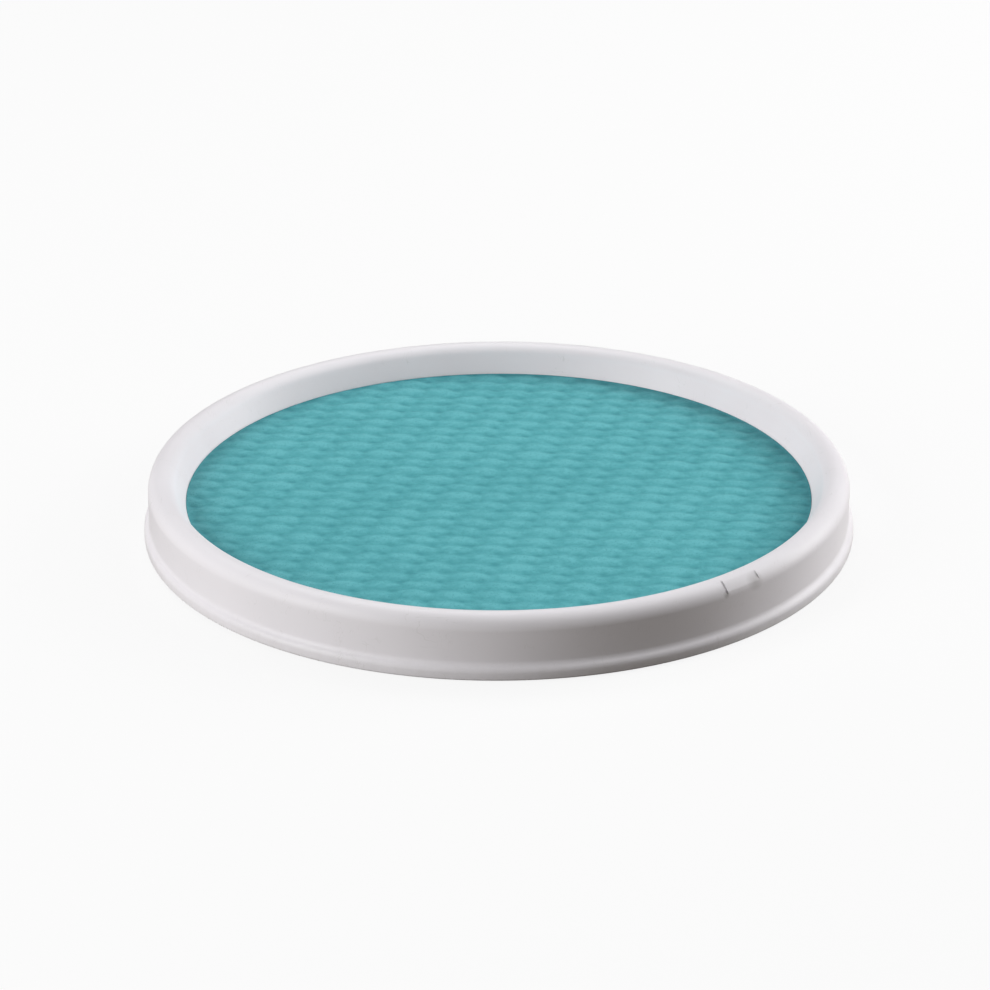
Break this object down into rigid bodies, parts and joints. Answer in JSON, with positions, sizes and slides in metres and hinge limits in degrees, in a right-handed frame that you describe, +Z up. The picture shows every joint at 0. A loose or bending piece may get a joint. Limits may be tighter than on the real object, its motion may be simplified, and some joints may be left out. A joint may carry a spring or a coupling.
{
  "type": "wet palette",
  "caption": "Round wet palette: an embossed sponge in a shallow water basin, framed by a lift-off moulded rim with a rolled crest and a flared hem, on rubber feet.",
  "frame": {"origin": "on the table under the centre of the palette, at the underside of the feet", "axes": "+Z up out of the sponge; +X to the right and -Y towards the viewer in the picture; the lift flat is between +X and -Y"},
  "size_m": [0.2, 0.2, 0.0177],
  "materials": {
    "rim_plastic": "satin white moulding",
    "basin_plastic": "matte white moulding",
    "seal_silicone": "soft translucent grey",
    "sponge_cellulose": "embossed teal cellulose",
    "foot_rubber": "matte grey rubber"
  },
  "bodies": {
    "basin": {"water_basin": "basin_plastic", "foot_1": "foot_rubber", "foot_2": "foot_rubber", "foot_3": "foot_rubber", "foot_4": "foot_rubber", "foot_5": "foot_rubber", "foot_6": "foot_rubber"},
    "rim": {"rim_ring": "rim_plastic", "seal_ring": "seal_silicone"},
    "sponge_pad": {"sponge": "sponge_cellulose"}
  },
  "joints": [
    {"name": "ring_lift", "type": "slide", "parent": "basin", "child": "rim", "axis": [0, 0, 1], "range_m": [0, 0.03]},
    {"name": "sponge_lift", "type": "slide", "parent": "basin", "child": "sponge_pad", "axis": [0, 0, 1], "range_m": [0, 0.06]}
  ]
}
